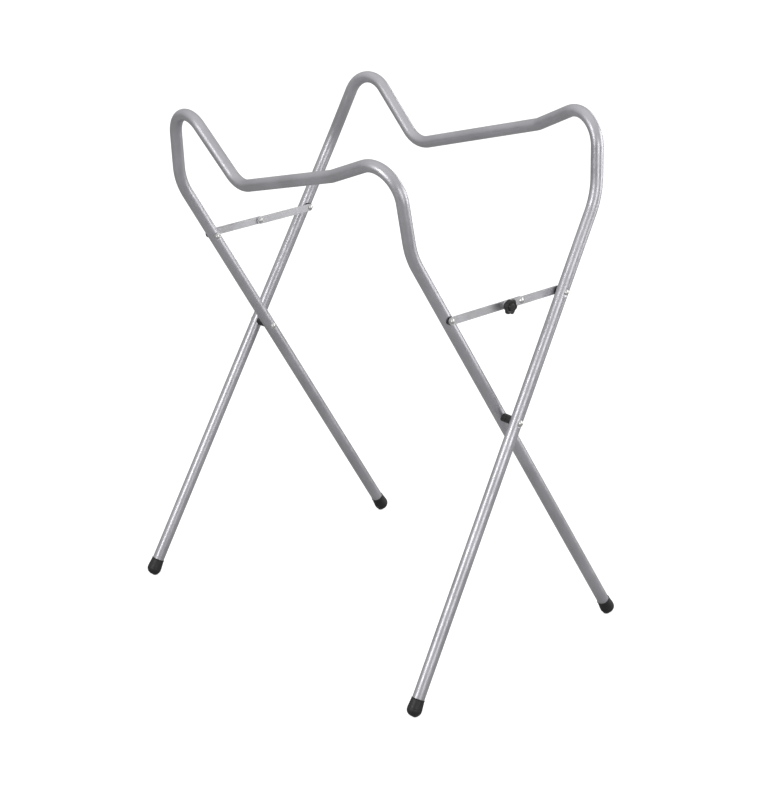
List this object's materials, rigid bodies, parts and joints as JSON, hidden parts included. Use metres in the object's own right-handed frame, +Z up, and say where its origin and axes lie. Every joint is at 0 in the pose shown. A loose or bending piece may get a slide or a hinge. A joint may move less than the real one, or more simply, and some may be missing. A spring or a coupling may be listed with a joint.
{
  "type": "folding sawhorse",
  "caption": "Folding scissor stand of two bent tube frames with shaped top rails, pivoted legs, hinged flat braces, a knob lock and rubber feet.",
  "frame": {"origin": "centre of the footprint at floor level", "axes": "+Z up, +X along the rails towards the end with the locking knob, +Y towards the side where the inner frame's feet stand"},
  "size_m": [0.6924, 0.4718, 0.8331],
  "materials": {
    "tube_paint": "satin silver",
    "bar_paint": "satin silver",
    "rivet_steel": "zinc plated, bright",
    "bolt_steel": "zinc plated, bright",
    "washer_steel": "zinc plated, bright",
    "saddle_plastic": "moulded, satin",
    "knob_plastic": "moulded, satin",
    "insert_brass": "turned",
    "foot_rubber": "moulded, satin"
  },
  "bodies": {
    "inner_stand": {"inner_frame": "tube_paint", "inner_left_foot": "foot_rubber", "inner_right_foot": "foot_rubber", "left_pivot_rivet": "rivet_steel", "right_pivot_rivet": "rivet_steel", "left_inner_saddle": "saddle_plastic", "right_inner_saddle": "saddle_plastic", "left_inner_bar_rivet": "rivet_steel", "right_inner_bar_rivet": "rivet_steel", "left_inner_bar_saddle": "saddle_plastic", "right_inner_bar_saddle": "saddle_plastic"},
    "outer_stand": {"outer_frame": "tube_paint", "outer_left_foot": "foot_rubber", "outer_right_foot": "foot_rubber", "left_outer_saddle": "saddle_plastic", "right_outer_saddle": "saddle_plastic", "left_outer_bar_rivet": "rivet_steel", "right_outer_bar_rivet": "rivet_steel", "left_outer_bar_saddle": "saddle_plastic", "right_outer_bar_saddle": "saddle_plastic"},
    "left_inner_link": {"left_inner_bar": "bar_paint", "middle_rivet_back": "rivet_steel"},
    "left_outer_link": {"left_outer_bar": "bar_paint", "middle_rivet_front": "rivet_steel"},
    "right_inner_link": {"right_inner_bar": "bar_paint", "lock_bolt_head": "bolt_steel"},
    "right_outer_link": {"right_outer_bar": "bar_paint", "lock_bolt_shank": "bolt_steel", "stop_rivet": "rivet_steel"},
    "washer": {"lock_washer": "washer_steel"},
    "knob": {"lock_knob": "knob_plastic", "lock_insert": "insert_brass"}
  },
  "joints": [
    {"name": "main_fold", "type": "hinge", "parent": "inner_stand", "child": "outer_stand", "pos_m": [0, 0, 0.4], "axis": [1, 0, 0], "range_deg": [0, 46]},
    {"name": "left_inner_fold", "type": "hinge", "parent": "inner_stand", "child": "left_inner_link", "pos_m": [-0.294, -0.1025, 0.57754], "axis": [1, 0, 0], "range_deg": [0, 98.9]},
    {"name": "right_inner_fold", "type": "hinge", "parent": "inner_stand", "child": "right_inner_link", "pos_m": [0.294, -0.1025, 0.57754], "axis": [1, 0, 0], "range_deg": [0, 98.9]},
    {"name": "left_outer_fold", "type": "hinge", "parent": "outer_stand", "child": "left_outer_link", "pos_m": [-0.297, 0.1025, 0.57754], "axis": [1, 0, 0], "range_deg": [-98.9, 0]},
    {"name": "right_outer_fold", "type": "hinge", "parent": "outer_stand", "child": "right_outer_link", "pos_m": [0.297, 0.1025, 0.57754], "axis": [1, 0, 0], "range_deg": [-98.9, 0]},
    {"name": "lock_slide", "type": "slide", "parent": "right_outer_link", "child": "washer", "axis": [1, 0, 0], "range_m": [0, 0.00301]},
    {"name": "knob_turn", "type": "hinge", "parent": "washer", "child": "knob", "pos_m": [0.305, 0, 0.57754], "axis": [1, 0, 0], "range_deg": [0, 1080]}
  ],
  "couplings": [
    {"joint": "left_inner_fold", "follows": "main_fold", "ratio": 2.1498},
    {"joint": "right_inner_fold", "follows": "main_fold", "ratio": 2.1498},
    {"joint": "left_outer_fold", "follows": "main_fold", "ratio": -2.1498},
    {"joint": "right_outer_fold", "follows": "main_fold", "ratio": -2.1498},
    {"joint": "lock_slide", "follows": "knob_turn", "m_per_rad": 0.00015915}
  ]
}
